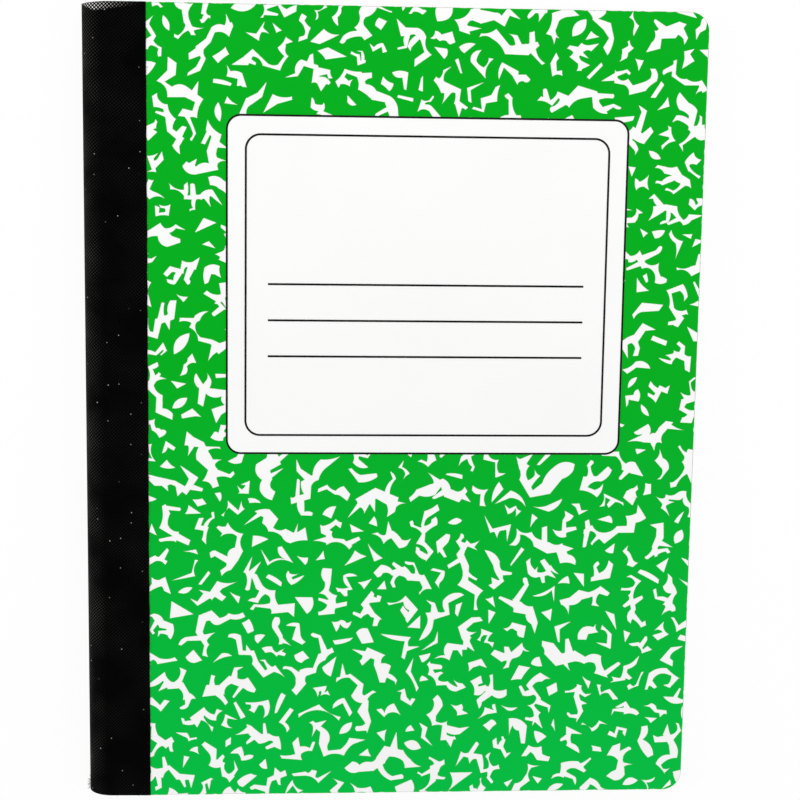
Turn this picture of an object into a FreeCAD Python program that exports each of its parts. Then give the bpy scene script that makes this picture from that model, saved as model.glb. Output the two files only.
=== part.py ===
import FreeCAD, Part
import math
import os
import random

# A sewn composition notebook lying closed on its back cover, in millimetres.
# +X runs from the spine to the fore-edge, +Y from the tail to the head, and
# +Z points out of the front cover. The origin is at the middle of the
# underside.

# Closed book
book_width = 190.5  # outside of the spine to the fore-edge
book_height = 247.65  # tail to head
corner_radius = 6.0  # both fore-edge corners, rounded through covers and leaves

# Leaves: folded sheets nested in one another, sewn through the fold
leaf_count = 100
leaf_thickness = 0.084

# Pressboard cover, white-lined, wrapped once round the folded leaves
board_thickness = 0.9
board_clearance = 0.1  # between the board and the leaves

# Cloth tape glued round the spine
tape_thickness = 0.17
tape_reach = 19.5  # outside of the spine to the tape's edge on each cover
glue_thickness = 0.03

# Thread of the lock stitch along the fold
thread_diameter = 0.6
leg_diameter = 0.5  # where the thread passes through the leaves
thread_clearance = 0.05
stitch_pitch = 11.0
first_stitch = 8.3  # head and tail to the nearest needle hole

# Printed ink, as thin layers on the boards
ink_thickness = 0.05

# Name panel left white on the front cover, framed by two black lines
panel_from_spine = 43.3
panel_from_head = 32.7
panel_width = 123.5
panel_height = 104.5
panel_radius = 4.6
frame_inset = 5.75  # outer line to inner line
inner_radius = 4.8
line_width = 0.62
rule_count = 3
rule_pitch = 11.15
rule_inset = 7.15  # inner line to each end of a rule
first_rule = 51.5  # top of the panel to the first rule

# Marbling: white flecks left bare in the green ink
fleck_seed = 41
fleck_pitch = 15.2  # one fleck in each square of this side, about
branching_size = 11.6  # half the length of a branching fleck
chip_size = 4.8  # half the length of a chip
fleck_spread = 0.2  # how far a fleck strays, as a share of its square
least_web = 0.02  # ink areas smaller than this, in square millimetres, are not printed

# Places that follow from the sizes above
block_thickness = leaf_count * leaf_thickness
book_thickness = block_thickness + 2 * (
    board_clearance + board_thickness + glue_thickness + tape_thickness
)
middle_height = book_thickness / 2
spine_edge = -book_width / 2
fore_edge = book_width / 2
tail = -book_height / 2
head = book_height / 2
hinge_line = spine_edge + middle_height  # where the round of the spine ends
tape_edge = spine_edge + tape_reach
board_depth = tape_thickness + glue_thickness  # outside of the book to the board
board_radius = middle_height - board_depth
block_radius = block_thickness / 2
outer_run = hinge_line - board_radius + thread_diameter / 2

# Outlines of bent and branching flecks, one unit long each way, as corner points in order
branching_outlines = (
    ((-1.0, 0.05), (-0.64, 0.24), (-0.52, 0.66), (-0.28, 0.22), (0.14, 0.28), (0.5, 0.56),
     (0.95, 0.44), (0.58, 0.1), (0.3, -0.2), (-0.06, -0.14), (-0.26, -0.56), (-0.48, -0.12)),
    ((-0.95, 0.42), (-0.28, 0.6), (0.34, 0.14), (0.76, -0.62), (0.36, -0.74), (0.0, -0.14),
     (-0.88, 0.06)),
    ((-1.0, -0.42), (-0.52, 0.46), (-0.02, 0.14), (0.46, 0.56), (1.0, 0.3), (0.42, 0.08),
     (0.02, -0.46), (-0.46, -0.06)),
    ((-1.0, -0.02), (-0.32, 0.34), (0.26, 0.16), (0.76, 0.58), (0.66, 0.06), (1.0, -0.4),
     (0.32, -0.24), (-0.3, -0.16)),
    ((-0.74, 0.84), (-0.32, 0.92), (-0.1, 0.14), (0.52, -0.04), (0.96, -0.52), (0.3, -0.48),
     (-0.5, -0.32)),
)

# Outlines of the small chips between them
chip_outlines = (
    ((-1.0, -0.45), (0.1, 0.7), (0.9, -0.5)),
    ((-1.0, -0.15), (0.75, 0.5), (1.0, 0.1), (-0.8, -0.62)),
    ((-0.9, 0.1), (0.0, 0.6), (0.95, 0.2), (0.1, -0.4)),
    ((-0.9, 0.4), (0.15, 0.62), (0.8, -0.5), (0.35, -0.66), (-0.1, 0.1)),
)


def face_of(points, height):
    vectors = [FreeCAD.Vector(x, y, height) for x, y in points]
    return Part.Face(Part.makePolygon(vectors + vectors[:1]))


def rounded_face(left, right, bottom, top, height, left_radius, right_radius):
    """Rectangle with its left and right corners rounded, or square where a radius is 0."""
    corners = (
        (left, bottom, left_radius, 180),
        (right, bottom, right_radius, 270),
        (right, top, right_radius, 0),
        (left, top, left_radius, 90),
    )
    middle_x = (left + right) / 2
    middle_y = (bottom + top) / 2
    edges = []
    ends = []
    up = FreeCAD.Vector(0, 0, 1)
    for x, y, radius, start in corners:
        toward_x = math.copysign(radius, middle_x - x)
        toward_y = math.copysign(radius, middle_y - y)
        centre = FreeCAD.Vector(x + toward_x, y + toward_y, height)
        if radius > 0:
            arc = Part.Edge(Part.makeCircle(radius, centre, up, start, start + 90))
            ends.append((arc.Vertexes[0].Point, arc.Vertexes[1].Point))
            edges.append(arc)
        else:
            ends.append((centre, centre))
            edges.append(None)
    outline = []
    for i, arc in enumerate(edges):
        if arc is not None:
            outline.append(arc)
        following = ends[(i + 1) % len(ends)][0]
        outline.append(Part.LineSegment(ends[i][1], following).toShape())
    return Part.Face(Part.Wire(outline))


def extruded(face, thickness):
    return face.extrude(FreeCAD.Vector(0, 0, thickness))


def cover_face(left, height):
    return rounded_face(left, fore_edge, tail, head, height, 0, corner_radius)


def along_spine(profile):
    """Extrude a profile drawn in the tail's plane up to the head."""
    return profile.extrude(FreeCAD.Vector(0, book_height, 0))


def half_round(radius):
    """Upper end, leftmost point and lower end of a half circle round the fold."""
    top = FreeCAD.Vector(hinge_line, tail, middle_height + radius)
    left = FreeCAD.Vector(hinge_line - radius, tail, middle_height)
    bottom = FreeCAD.Vector(hinge_line, tail, middle_height - radius)
    return top, left, bottom


def bent_strip(outer_radius, thickness):
    top, left, bottom = half_round(outer_radius)
    inner_top, inner_left, inner_bottom = half_round(outer_radius - thickness)
    edges = [
        Part.Arc(top, left, bottom).toShape(),
        Part.LineSegment(bottom, inner_bottom).toShape(),
        Part.Arc(inner_bottom, inner_left, inner_top).toShape(),
        Part.LineSegment(inner_top, top).toShape(),
    ]
    return along_spine(Part.Face(Part.Wire(edges)))


def stitch_places():
    """Needle holes, evenly spaced about the middle of the spine."""
    count = int((book_height - 2 * first_stitch) / stitch_pitch) + 1
    first = -(count - 1) * stitch_pitch / 2
    return [first + i * stitch_pitch for i in range(count)]


def six_sided(diameter, start, across, upward, run):
    """Six-sided bar as wide as a round one, from its start along the vector run."""
    corners = []
    for i in range(6):
        angle = math.radians(60 * i + 30)
        offset = across * math.cos(angle) + upward * math.sin(angle)
        corners.append(start + offset * (diameter / 2))
    return Part.Face(Part.makePolygon(corners + corners[:1])).extrude(run)


def stitch_ladder(run_diameter, across_diameter):
    """Both runs of the stitch, joined by the legs through each needle hole."""
    x_way = FreeCAD.Vector(1, 0, 0)
    y_way = FreeCAD.Vector(0, 1, 0)
    z_way = FreeCAD.Vector(0, 0, 1)
    bars = []
    for x in (outer_run, hinge_line):
        start = FreeCAD.Vector(x, tail, middle_height)
        bars.append(six_sided(run_diameter, start, x_way, z_way, y_way * book_height))
    for y in stitch_places():
        start = FreeCAD.Vector(outer_run, y, middle_height)
        leg = x_way * (hinge_line - outer_run)
        bars.append(six_sided(across_diameter, start, y_way, z_way, leg))
    return bars[0].fuse(bars[1:]).removeSplitter()


def stitch_channel():
    """Room for the stitch: the ladder with its clearance, open towards the tape."""
    play = 2 * thread_clearance
    ladder = stitch_ladder(thread_diameter + play, leg_diameter + play)
    groove_width = thread_diameter + play
    corner = FreeCAD.Vector(outer_run - thread_diameter, tail, middle_height - groove_width / 2)
    groove = Part.makeBox(thread_diameter, book_height, groove_width, corner)
    return ladder.fuse(groove)


def page_block(channel):
    top, left, bottom = half_round(block_radius)
    fore_top = FreeCAD.Vector(fore_edge, tail, middle_height + block_radius)
    fore_bottom = FreeCAD.Vector(fore_edge, tail, middle_height - block_radius)
    edges = [
        Part.Arc(top, left, bottom).toShape(),
        Part.LineSegment(bottom, fore_bottom).toShape(),
        Part.LineSegment(fore_bottom, fore_top).toShape(),
        Part.LineSegment(fore_top, top).toShape(),
    ]
    folded = along_spine(Part.Face(Part.Wire(edges)))
    trimmed = folded.common(extruded(cover_face(spine_edge, 0), book_thickness))
    return trimmed.cut(channel)


def cover_spine(channel):
    return bent_strip(board_radius, board_thickness).cut(channel)


def board(bottom):
    return extruded(cover_face(hinge_line, bottom), board_thickness)


def tape_wing(bottom):
    corner = FreeCAD.Vector(hinge_line, tail, bottom)
    return Part.makeBox(tape_edge - hinge_line, book_height, tape_thickness, corner)


def panel_face(height, inset, radius):
    left = spine_edge + panel_from_spine + inset
    right = spine_edge + panel_from_spine + panel_width - inset
    top = head - panel_from_head - inset
    bottom = head - panel_from_head - panel_height + inset
    return rounded_face(left, right, bottom, top, height, radius, radius)


def fleck_faces(height, seed):
    """White flecks over a cover, branching ones and chips by turns, turned and stretched at random."""
    dice = random.Random(seed)
    columns = round((fore_edge - tape_edge) / fleck_pitch)
    rows = round(book_height / fleck_pitch)
    faces = []
    for row in range(rows):
        for column in range(columns):
            branching = (row + column) % 2 == 0
            outline = dice.choice(branching_outlines if branching else chip_outlines)
            size = branching_size if branching else chip_size
            x = tape_edge + fleck_pitch * (column + 0.5 + dice.uniform(-1, 1) * fleck_spread)
            y = tail + fleck_pitch * (row + 0.5 + dice.uniform(-1, 1) * fleck_spread)
            turn = dice.uniform(0, 2 * math.pi)
            length = size * dice.uniform(0.8, 1.1)
            width = size * dice.uniform(0.8, 1.1) * dice.choice((-1, 1))
            points = []
            for along, across in outline:
                along *= length
                across *= width
                points.append(
                    (
                        x + along * math.cos(turn) - across * math.sin(turn),
                        y + along * math.sin(turn) + across * math.cos(turn),
                    )
                )
            faces.append(face_of(points, height))
    return faces


def marbling(bottom, seed, panel):
    """Green ink on a board, with the flecks and the name panel left bare."""
    sheet = cover_face(tape_edge, bottom)
    if panel:
        sheet = sheet.cut(panel_face(bottom, 0, panel_radius))
    printed = sheet.cut(fleck_faces(bottom, seed))
    solids = [extruded(face, ink_thickness) for face in printed.Faces if face.Area > least_web]
    return Part.makeCompound(solids)


def ring(height, inset, radius):
    outer = panel_face(height, inset, radius)
    inner = panel_face(height, inset + line_width, radius - line_width)
    return extruded(outer.cut(inner), ink_thickness)


def panel_lines(height):
    """Double frame of the name panel and the rules to write on."""
    shapes = [ring(height, 0, panel_radius), ring(height, frame_inset, inner_radius)]
    left = spine_edge + panel_from_spine + frame_inset + rule_inset
    length = panel_width - 2 * (frame_inset + rule_inset)
    for i in range(rule_count):
        y = head - panel_from_head - first_rule - i * rule_pitch
        corner = FreeCAD.Vector(left, y - line_width / 2, height)
        shapes.append(Part.makeBox(length, line_width, ink_thickness, corner))
    return Part.makeCompound(shapes)


def write_parts():
    front_face = book_thickness - board_depth
    back_face = board_depth
    channel = stitch_channel()
    parts = {
        "page_block": page_block(channel),
        "sewing_thread": stitch_ladder(thread_diameter, leg_diameter),
        "cover_spine": cover_spine(channel),
        "front_cover": board(front_face - board_thickness),
        "back_cover": board(back_face),
        "spine_tape": bent_strip(middle_height, tape_thickness),
        "front_tape": tape_wing(book_thickness - tape_thickness),
        "back_tape": tape_wing(0),
        "front_marbling": marbling(front_face, fleck_seed, True),
        "back_marbling": marbling(back_face - ink_thickness, fleck_seed + 1, False),
        "panel_lines": panel_lines(front_face),
    }
    os.makedirs("parts", exist_ok=True)
    for name, shape in parts.items():
        shape.exportStep(os.path.join("parts", name + ".step"))
        print(name, shape.isValid(), len(shape.Solids), round(shape.Volume, 2))


write_parts()
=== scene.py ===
import cmath
import math
import random

import bpy
from mathutils import Euler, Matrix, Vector
from mathutils.geometry import delaunay_2d_cdt


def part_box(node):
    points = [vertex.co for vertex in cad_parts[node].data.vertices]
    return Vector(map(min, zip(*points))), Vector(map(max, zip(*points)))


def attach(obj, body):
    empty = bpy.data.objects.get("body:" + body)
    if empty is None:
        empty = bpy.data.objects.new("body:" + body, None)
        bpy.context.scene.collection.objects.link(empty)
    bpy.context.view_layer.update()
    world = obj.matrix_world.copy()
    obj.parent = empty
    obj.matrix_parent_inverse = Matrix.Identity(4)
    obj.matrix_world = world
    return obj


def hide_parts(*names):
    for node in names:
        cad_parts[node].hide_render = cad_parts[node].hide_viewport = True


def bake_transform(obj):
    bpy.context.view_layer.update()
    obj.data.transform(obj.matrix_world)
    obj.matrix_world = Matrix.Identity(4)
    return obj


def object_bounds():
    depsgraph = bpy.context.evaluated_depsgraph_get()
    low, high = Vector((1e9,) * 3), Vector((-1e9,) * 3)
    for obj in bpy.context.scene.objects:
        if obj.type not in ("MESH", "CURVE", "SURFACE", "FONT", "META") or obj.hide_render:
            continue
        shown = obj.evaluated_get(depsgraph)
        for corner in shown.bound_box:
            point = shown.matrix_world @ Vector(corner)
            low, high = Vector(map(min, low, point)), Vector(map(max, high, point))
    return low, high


# Sewn composition notebook, closed on its back cover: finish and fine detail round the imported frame.
# Places are in metres, with +X from the spine to the fore-edge, +Y to the head and +Z out of the cover.

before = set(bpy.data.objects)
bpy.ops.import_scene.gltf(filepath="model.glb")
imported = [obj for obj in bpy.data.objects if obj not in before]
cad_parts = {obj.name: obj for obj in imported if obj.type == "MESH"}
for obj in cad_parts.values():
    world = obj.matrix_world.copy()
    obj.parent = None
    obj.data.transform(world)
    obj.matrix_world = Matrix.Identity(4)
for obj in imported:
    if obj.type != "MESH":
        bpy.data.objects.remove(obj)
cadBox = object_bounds()
print("frame loaded:", sorted(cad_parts))

mm = 0.001

# Places of the book, from the frame
foreEdge = cadBox[1].x
halfHeight = cadBox[1].y
bookTop = cadBox[1].z
middle = bookTop / 2
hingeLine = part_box("front_cover")[0].x
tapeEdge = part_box("front_tape")[1].x
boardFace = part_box("front_cover")[1].z
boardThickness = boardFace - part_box("front_cover")[0].z
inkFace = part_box("front_marbling")[1].z
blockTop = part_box("page_block")[1].z


# Node and mesh helpers

def feed(tree, socket, value):
    if isinstance(value, bpy.types.NodeSocket):
        tree.links.new(value, socket)
    else:
        socket.default_value = value


def addNode(tree, kind, inputs=None, **settings):
    node = tree.nodes.new(kind)
    for name, value in settings.items():
        setattr(node, name, value)
    for name, value in (inputs or {}).items():
        feed(tree, node.inputs[name], value)
    return node


def calc(tree, operation, *values):
    node = addNode(tree, "ShaderNodeMath", operation=operation)
    for socket, value in zip(node.inputs, values):
        feed(tree, socket, value)
    return node.outputs[0]


def ramp(tree, value, low, high, start=0.0, end=1.0):
    found = addNode(tree, "ShaderNodeMapRange", {"Value": value, "From Min": low, "From Max": high})
    found.inputs["To Min"].default_value = start
    found.inputs["To Max"].default_value = end
    return found.outputs["Result"]


def blendColor(tree, share, first, second, mode="MIX"):
    node = addNode(tree, "ShaderNodeMix", data_type="RGBA", blend_type=mode)
    feed(tree, node.inputs["Factor"], share)
    colorInputs = [socket for socket in node.inputs if socket.type == "RGBA"]
    feed(tree, colorInputs[0], first)
    feed(tree, colorInputs[1], second)
    return next(socket for socket in node.outputs if socket.type == "RGBA")


def newGroup(name, kind, inputs, outputs):
    tree = bpy.data.node_groups.new(name, kind)
    for label, socketType, value in inputs:
        socket = tree.interface.new_socket(label, in_out="INPUT", socket_type=socketType)
        if value is not None:
            socket.default_value = value
    for label, socketType in outputs:
        tree.interface.new_socket(label, in_out="OUTPUT", socket_type=socketType)
    return tree, addNode(tree, "NodeGroupInput").outputs, addNode(tree, "NodeGroupOutput").inputs


def useGroup(tree, group, **inputs):
    node = addNode(tree, "ShaderNodeGroup", node_tree=group)
    for name, value in inputs.items():
        feed(tree, node.inputs[name], value)
    return node.outputs


def newMaterial(name, settings):
    material = bpy.data.materials.new(name)
    material.use_nodes = True
    tree = material.node_tree
    shader = tree.nodes["Principled BSDF"]
    for label, value in settings.items():
        shader.inputs[label].default_value = value
    return material, tree, shader


def addBump(tree, shader, height, distance, strength=1.0):
    bump = addNode(tree, "ShaderNodeBump", {"Height": height, "Distance": distance, "Strength": strength})
    tree.links.new(bump.outputs["Normal"], shader.inputs["Normal"])


def meshPiece(name, points, faces, materials, slots=None, uvs=None, sharpAngle=12):
    mesh = bpy.data.meshes.new(name)
    mesh.from_pydata(points, [], faces)
    for material in materials:
        mesh.materials.append(material)
    if slots:
        mesh.polygons.foreach_set("material_index", slots)
    if uvs:
        layer = mesh.uv_layers.new(name="surface")
        for loop in mesh.loops:
            layer.data[loop.index].uv = uvs[loop.vertex_index]
    mesh.polygons.foreach_set("use_smooth", [True] * len(mesh.polygons))
    mesh.set_sharp_from_angle(angle=math.radians(sharpAngle))
    piece = bpy.data.objects.new(name, mesh)
    bpy.context.scene.collection.objects.link(piece)
    return piece


def treeMesh(name, tree, settings, source=None, sharpAngle=30):
    # Runs a geometry tree and keeps its result as a plain mesh
    piece = bpy.data.objects.new(name, source or bpy.data.meshes.new(name))
    bpy.context.scene.collection.objects.link(piece)
    modifier = piece.modifiers.new(name, "NODES")
    modifier.node_group = tree
    for item in tree.interface.items_tree:
        if item.item_type == "SOCKET" and item.in_out == "INPUT" and item.name in settings:
            modifier[item.identifier] = settings[item.name]
    shown = piece.evaluated_get(bpy.context.evaluated_depsgraph_get())
    made = bpy.data.meshes.new_from_object(shown)
    piece.modifiers.remove(modifier)
    piece.data = made
    made.name = name
    made.set_sharp_from_angle(angle=math.radians(sharpAngle))
    return piece


def chance(tree, seed, low, high, number=None, kind="FLOAT"):
    # A random number, or vector, for each point, from the tree's own seed
    node = addNode(tree, "FunctionNodeRandomValue", data_type=kind)
    places = {socket.identifier: socket for socket in node.inputs}
    results = {socket.identifier: socket for socket in node.outputs}
    suffix = "_001" if kind == "FLOAT" else ""
    feed(tree, places["Min" + suffix], low)
    feed(tree, places["Max" + suffix], high)
    feed(tree, places["Seed"], seed)
    if number:
        feed(tree, places["ID"], number)
    return results["Value" + suffix]


# Effects that several materials share

def mottleGroup():
    # Soft, uneven patches and a fine grain, both from 0 to 1
    tree, given, out = newGroup(
        "mottle",
        "ShaderNodeTree",
        [("Vector", "NodeSocketVector", None), ("Patch Scale", "NodeSocketFloat", 30.0),
         ("Grain Scale", "NodeSocketFloat", 2500.0)],
        [("Patches", "NodeSocketFloat"), ("Grain", "NodeSocketFloat")],
    )
    patches = addNode(tree, "ShaderNodeTexNoise", {"Vector": given["Vector"], "Scale": given["Patch Scale"]})
    patches.inputs["Detail"].default_value = 4
    grain = addNode(tree, "ShaderNodeTexNoise", {"Vector": given["Vector"], "Scale": given["Grain Scale"]})
    grain.inputs["Detail"].default_value = 3
    tree.links.new(ramp(tree, patches.outputs["Fac"], 0.3, 0.7), out["Patches"])
    tree.links.new(ramp(tree, grain.outputs["Fac"], 0.25, 0.75), out["Grain"])
    return tree


def edgeGroup():
    # 1 along the worn outline of a cover, broken up, and 0 further in
    tree, given, out = newGroup(
        "outlineWear",
        "ShaderNodeTree",
        [("Vector", "NodeSocketVector", None), ("Fore Edge", "NodeSocketFloat", foreEdge),
         ("Half Height", "NodeSocketFloat", halfHeight), ("Reach", "NodeSocketFloat", 1.2 * mm)],
        [("Wear", "NodeSocketFloat")],
    )
    place = addNode(tree, "ShaderNodeSeparateXYZ", {"Vector": given["Vector"]})
    fromFore = calc(tree, "SUBTRACT", given["Fore Edge"], place.outputs["X"])
    fromEnd = calc(tree, "SUBTRACT", given["Half Height"], calc(tree, "ABSOLUTE", place.outputs["Y"]))
    nearest = calc(tree, "MINIMUM", fromFore, fromEnd)
    breaks = addNode(tree, "ShaderNodeTexNoise", {"Vector": given["Vector"], "Scale": 420.0, "Detail": 5.0})
    ragged = calc(tree, "MULTIPLY", given["Reach"], ramp(tree, breaks.outputs["Fac"], 0.42, 0.72))
    tree.links.new(calc(tree, "LESS_THAN", nearest, ragged), out["Wear"])
    return tree


def weaveGroup():
    # Plain weave on a surface's own coordinates: the height of its threads, and the crowns that catch light
    tree, given, out = newGroup(
        "clothWeave",
        "ShaderNodeTree",
        [("Vector", "NodeSocketVector", None), ("Pitch", "NodeSocketFloat", 0.7 * mm),
         ("Turn", "NodeSocketFloat", 0.0), ("Unevenness", "NodeSocketFloat", 0.15)],
        [("Height", "NodeSocketFloat"), ("Crown", "NodeSocketFloat")],
    )
    drift = addNode(tree, "ShaderNodeTexNoise", {"Vector": given["Vector"], "Scale": 90.0, "Detail": 3.0})
    turned = addNode(tree, "ShaderNodeVectorRotate", {"Vector": given["Vector"], "Angle": given["Turn"]})
    turned.rotation_type = "Z_AXIS"
    place = addNode(tree, "ShaderNodeSeparateXYZ", {"Vector": turned.outputs["Vector"]})
    waver = calc(tree, "MULTIPLY", calc(tree, "SUBTRACT", drift.outputs["Fac"], 0.5), given["Unevenness"])
    waver = calc(tree, "MULTIPLY", waver, 40.0)
    steps = calc(tree, "DIVIDE", math.pi, given["Pitch"])
    across = calc(tree, "ADD", calc(tree, "MULTIPLY", place.outputs["X"], steps), waver)
    along = calc(tree, "SUBTRACT", calc(tree, "MULTIPLY", place.outputs["Y"], steps), waver)
    crownX = calc(tree, "ABSOLUTE", calc(tree, "SINE", across))
    crownY = calc(tree, "ABSOLUTE", calc(tree, "SINE", along))
    checker = calc(tree, "MULTIPLY", calc(tree, "SINE", across), calc(tree, "SINE", along))
    over = ramp(tree, checker, -0.25, 0.25)
    height = calc(tree, "ADD", calc(tree, "MULTIPLY", crownX, over),
                  calc(tree, "MULTIPLY", crownY, calc(tree, "SUBTRACT", 1.0, over)))
    tree.links.new(height, out["Height"])
    lifted = calc(tree, "MULTIPLY", calc(tree, "POWER", crownX, 0.5), ramp(tree, checker, 0.05, 0.55))
    tree.links.new(ramp(tree, lifted, 0.1, 0.8), out["Crown"])
    return tree


mottle = mottleGroup()
outlineWear = edgeGroup()
clothWeave = weaveGroup()


# Materials

card = {
    "face": (0.94, 0.94, 0.935, 1),
    "faceShade": (0.91, 0.91, 0.905, 1),
    "core": (0.46, 0.44, 0.4, 1),
    "coreShade": (0.3, 0.285, 0.26, 1),
    "layerScale": 5200.0,
    "roughness": (0.36, 0.5),
    "grainDepth": 0.006 * mm,
    "layerDepth": 0.03 * mm,
}


def cardMaterials():
    # White lined face of the pressboard, and its grey layered cut edge
    face, tree, shader = newMaterial("coatedCard", {"Roughness": 0.42, "Specular IOR Level": 0.35})
    place = addNode(tree, "ShaderNodeTexCoord").outputs["Object"]
    found = useGroup(tree, mottle, Vector=place)
    color = blendColor(tree, calc(tree, "MULTIPLY", found["Patches"], 0.5), card["face"], card["faceShade"])
    tree.links.new(color, shader.inputs["Base Color"])
    tree.links.new(ramp(tree, found["Grain"], 0, 1, *card["roughness"]), shader.inputs["Roughness"])
    addBump(tree, shader, found["Grain"], card["grainDepth"])

    core, tree, shader = newMaterial("cardCore", {"Roughness": 0.9, "Specular IOR Level": 0.2})
    place = addNode(tree, "ShaderNodeTexCoord").outputs["Object"]
    stretch = addNode(tree, "ShaderNodeMapping", {"Vector": place, "Scale": (0.12, 0.12, 1.0)})
    layers = addNode(tree, "ShaderNodeTexNoise",
                     {"Vector": stretch.outputs["Vector"], "Scale": card["layerScale"], "Detail": 4.0})
    share = ramp(tree, layers.outputs["Fac"], 0.35, 0.65)
    tree.links.new(blendColor(tree, share, card["core"], card["coreShade"]), shader.inputs["Base Color"])
    addBump(tree, shader, layers.outputs["Fac"], card["layerDepth"])
    return [face, core]


ink = {
    "headGreen": (0.0, 0.412, 0.0124, 1),
    "tailGreen": (0.0, 0.515, 0.0575, 1),
    "black": (0.002, 0.002, 0.002, 1),
    "thinBlack": (0.008, 0.008, 0.009, 1),
    "thinTint": (0.93, 0.95, 0.93, 1),  # over the green where the print is thinner
    "thinShare": 0.35,
    "bare": (0.86, 0.9, 0.84, 1),
    "wearReach": 0.24 * mm,
    "greenRoughness": (0.34, 0.48),
    "blackRoughness": (0.35, 0.5),
    "grainDepth": 0.005 * mm,
}


def greenInk():
    # Solid green print, lighter and bluer towards the tail and worn thin along the outline of the cover
    material, tree, shader = newMaterial("greenInk", {"Specular IOR Level": 0.06})
    place = addNode(tree, "ShaderNodeTexCoord").outputs["Object"]
    found = useGroup(tree, mottle, Vector=place)
    apart = addNode(tree, "ShaderNodeSeparateXYZ", {"Vector": place})
    drift = ramp(tree, apart.outputs["Y"], 0.1 * halfHeight, -halfHeight)
    color = blendColor(tree, drift, ink["headGreen"], ink["tailGreen"])
    thin = calc(tree, "MULTIPLY", found["Patches"], ink["thinShare"])
    dense = blendColor(tree, thin, color, ink["thinTint"], "MULTIPLY")
    wear = useGroup(tree, outlineWear, Vector=place, Reach=ink["wearReach"])["Wear"]
    tree.links.new(blendColor(tree, wear, dense, ink["bare"]), shader.inputs["Base Color"])
    tree.links.new(ramp(tree, found["Grain"], 0, 1, *ink["greenRoughness"]), shader.inputs["Roughness"])
    addBump(tree, shader, found["Grain"], ink["grainDepth"])
    return material


def blackInk():
    # Frame and rules of the name panel
    material, tree, shader = newMaterial("blackInk", {"Specular IOR Level": 0.08})
    place = addNode(tree, "ShaderNodeTexCoord").outputs["Object"]
    found = useGroup(tree, mottle, Vector=place, **{"Patch Scale": 300.0})
    color = blendColor(tree, found["Patches"], ink["black"], ink["thinBlack"])
    tree.links.new(color, shader.inputs["Base Color"])
    tree.links.new(ramp(tree, found["Grain"], 0, 1, *ink["blackRoughness"]), shader.inputs["Roughness"])
    return material


cloth = {
    "pitch": 0.55 * mm,  # thread to thread
    "turn": math.radians(4),
    "thread": (0.0006, 0.0006, 0.0007, 1),
    # painted highlight: weave crowns painted lighter than the threads
    "crownHighlight": (0.012, 0.0117, 0.011, 1),
    "spineHighlight": (0.08, 0.078, 0.07, 1),  # painted highlight: crowns on the round of the spine, lit at a slant
    # painted highlight: near-white crowns in a crescent below the head of the spine
    "headHighlight": (0.95, 0.94, 0.9, 1),
    "lint": (0.62, 0.6, 0.55, 1),
    "lintScale": 290.0,
    "lintShare": 0.15,
    "roughness": (0.85, 0.42),  # in the gaps and on the crowns
    "headHighlightReach": 2.9 * mm,  # painted highlight on the weave below the head of the spine
    "headHighlightEnds": (1 * mm, 7 * mm, 22 * mm),  # from the middle of the spine: where it starts, is widest and ends
    "depth": 0.07 * mm,
}


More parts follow.
